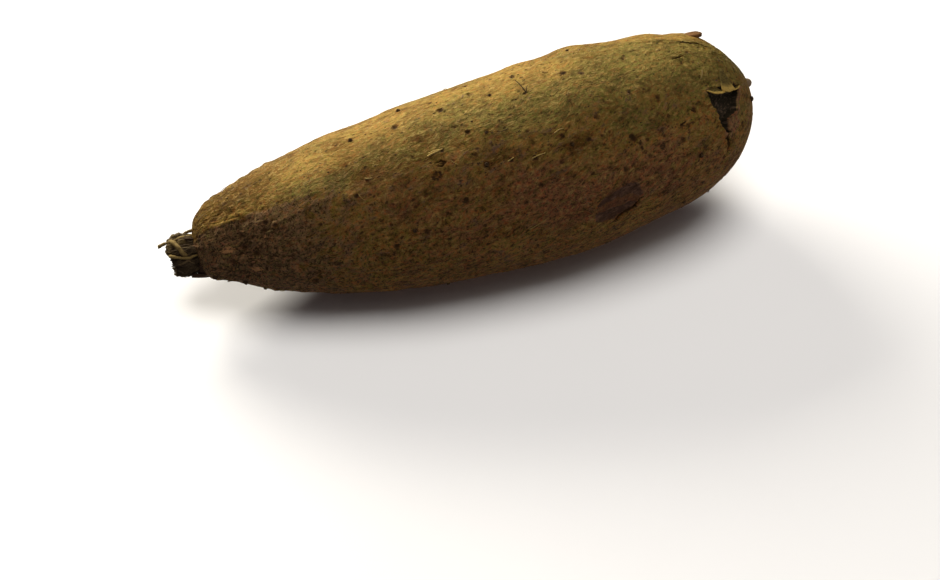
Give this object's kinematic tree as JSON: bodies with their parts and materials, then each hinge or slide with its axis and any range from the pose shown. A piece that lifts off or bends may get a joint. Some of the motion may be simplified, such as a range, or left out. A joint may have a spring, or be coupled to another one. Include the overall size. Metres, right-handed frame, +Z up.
{
  "type": "purple yam",
  "caption": "Whole yam tuber, long and bluntly rounded, with rough brown skin, small root scars and the dead base of its vine on the crown; food that lies on its side.",
  "frame": {"origin": "on the surface that the yam lies on, under the middle of its bounding box", "axes": "+X from the vine end to the blunt tip, +Z up, +Y away from the side with the scuffed patch"},
  "size_m": [0.2322, 0.0772, 0.0752],
  "materials": {
    "yam_skin": "rough corky skin, tan to dark brown",
    "vine_fibre": "dry broken plant fibre, nearly black"
  },
  "bodies": {
    "root": {"tuber": "yam_skin", "vine_stub": "vine_fibre"}
  },
  "joints": []
}
